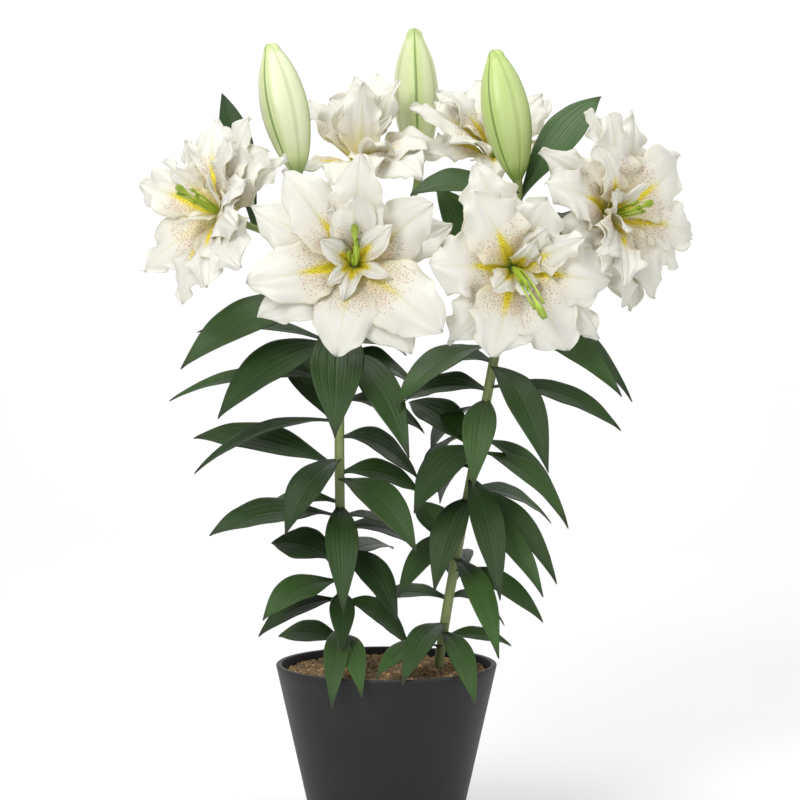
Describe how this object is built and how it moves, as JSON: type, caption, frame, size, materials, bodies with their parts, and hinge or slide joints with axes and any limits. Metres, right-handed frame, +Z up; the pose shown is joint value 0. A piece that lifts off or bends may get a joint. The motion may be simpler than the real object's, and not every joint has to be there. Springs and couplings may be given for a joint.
{
  "type": "potted oriental lily",
  "caption": "Round tapered pot of soil with two leafy lily stems that carry large double white blooms with green pistils, and closed pale buds.",
  "frame": {"origin": "centre of the pot's flat foot, on the surface that it stands on", "axes": "+Z up, through the pot's middle; -Y towards the front that the flowers face; +X to the right as seen from the front"},
  "size_m": [0.4961, 0.2787, 0.7411],
  "materials": {
    "pot": "dark grey, matt, with a soft sheen on the lip",
    "soil": null,
    "leaf": "deep green, slightly glossy, with fine lengthwise veins; stems lighter yellowish green",
    "tepal": "white, satin, with a yellow-green throat and fine reddish dots",
    "pistil": "fresh yellow-green, smooth",
    "bud": "pale greenish white with green ribs, smooth and slightly waxy"
  },
  "bodies": {
    "root": {"pot": "pot", "soil": "soil", "leafy_stem_left": "leaf", "leafy_stem_right": "leaf", "bloom_front_left": "tepal", "pistil_front_left": "pistil", "bloom_side_left": "tepal", "pistil_side_left": "pistil", "bloom_back_left": "tepal", "pistil_back_left": "pistil", "bloom_front_right": "tepal", "pistil_front_right": "pistil", "bloom_side_right": "tepal", "pistil_side_right": "pistil", "bloom_back_right": "tepal", "pistil_back_right": "pistil", "bud_left": "bud", "bud_centre": "bud", "bud_right": "bud"}
  },
  "joints": []
}
